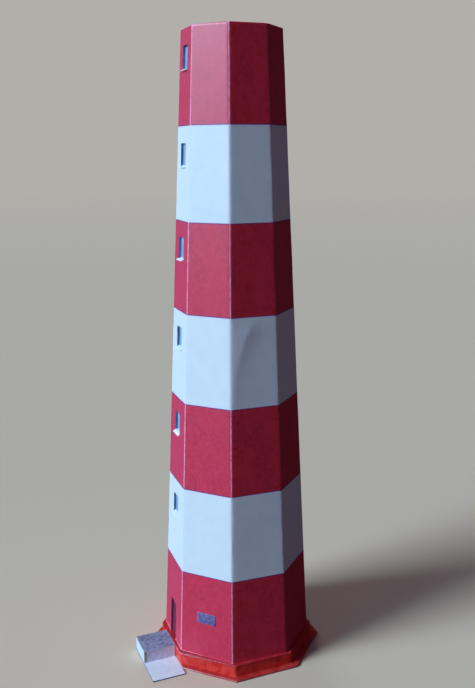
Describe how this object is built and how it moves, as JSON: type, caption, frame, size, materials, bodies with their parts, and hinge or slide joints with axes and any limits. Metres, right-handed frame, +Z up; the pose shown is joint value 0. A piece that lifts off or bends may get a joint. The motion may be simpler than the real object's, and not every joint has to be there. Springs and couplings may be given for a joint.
{
  "type": "card model of a lighthouse tower",
  "caption": "Unfinished card model of a tapering eight-sided lighthouse tower with red and white bands, a painted plinth, a doorstep and no lantern.",
  "frame": {"origin": "on the tower's axis, at the underside of the base plate", "axes": "+Z up along the tower's axis; -Y out of the face with the door and windows; the plaque's face looks between +X and -Y"},
  "size_m": [0.0814, 0.0952, 0.308],
  "materials": {
    "red_print": "printed card, faint mottle, white cracks along the folds",
    "white_print": "printed card, cool white, smooth",
    "painted_base": "hand-painted card, pale cut edge",
    "painted_plinth": "hand-painted card, brush marks",
    "white_card": "plain white card, matt",
    "blue_pane": "printed pale blue card",
    "door_print": "printed dull red card",
    "plaque_print": "printed blue-grey paper",
    "step_card": "grey card with white ends",
    "slate_print": "printed slate grey card with fine slanting lines"
  },
  "bodies": {
    "root": {"base_plate": "painted_base", "landing_card": "white_card", "plinth_side": "painted_plinth", "plinth_top": "painted_plinth", "wall_band_1": "red_print", "wall_band_2": "white_print", "wall_band_3": "red_print", "wall_band_4": "white_print", "wall_band_5": "red_print", "wall_band_6": "white_print", "wall_band_7": "red_print", "window_pane_2": "blue_pane", "window_pane_3": "blue_pane", "window_pane_4": "blue_pane", "window_pane_5": "blue_pane", "window_pane_6": "blue_pane", "window_pane_7": "blue_pane", "window_sill_2": "white_card", "window_sill_3": "white_card", "window_sill_4": "white_card", "window_sill_5": "white_card", "window_sill_6": "white_card", "window_sill_7": "white_card", "door_leaf": "door_print", "wall_plaque": "plaque_print", "doorstep_sides": "step_card", "doorstep_top": "slate_print", "top_deck": "white_card"}
  },
  "joints": []
}
